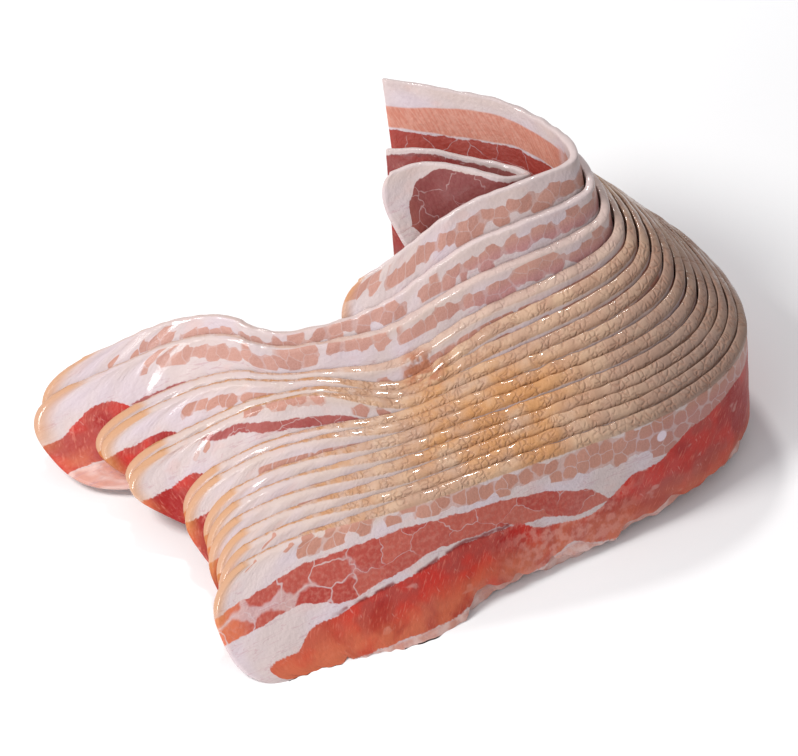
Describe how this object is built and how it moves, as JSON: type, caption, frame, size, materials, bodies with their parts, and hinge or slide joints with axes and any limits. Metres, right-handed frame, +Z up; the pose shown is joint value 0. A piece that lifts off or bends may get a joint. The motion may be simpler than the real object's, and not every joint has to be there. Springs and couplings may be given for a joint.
{
  "type": "folded stack of raw streaky bacon rashers",
  "caption": "Shingled stack of raw streaky bacon rashers, leaning on their lean edges and folded back on themselves at one side.",
  "frame": {"origin": "middle of the stack's base, on the surface it lies on", "axes": "+X along the rashers from their tails to the fold, +Y from the front rasher back to the folded arms, +Z up"},
  "size_m": [0.2484, 0.213, 0.0936],
  "materials": {
    "outer_rashers": null,
    "inner_rasher": null
  },
  "bodies": {
    "root": {"rasher_01": "outer_rashers", "rasher_02": "outer_rashers", "rasher_03": "outer_rashers", "rasher_04": "outer_rashers", "rasher_05": "outer_rashers", "rasher_06": "outer_rashers", "rasher_07": "outer_rashers", "rasher_08": "outer_rashers", "rasher_09": "outer_rashers", "rasher_10": "outer_rashers", "rasher_11": "outer_rashers", "rasher_12": "outer_rashers", "rasher_13": "outer_rashers", "rasher_14": "outer_rashers", "rasher_15": "outer_rashers", "rasher_16": "inner_rasher"}
  },
  "joints": []
}
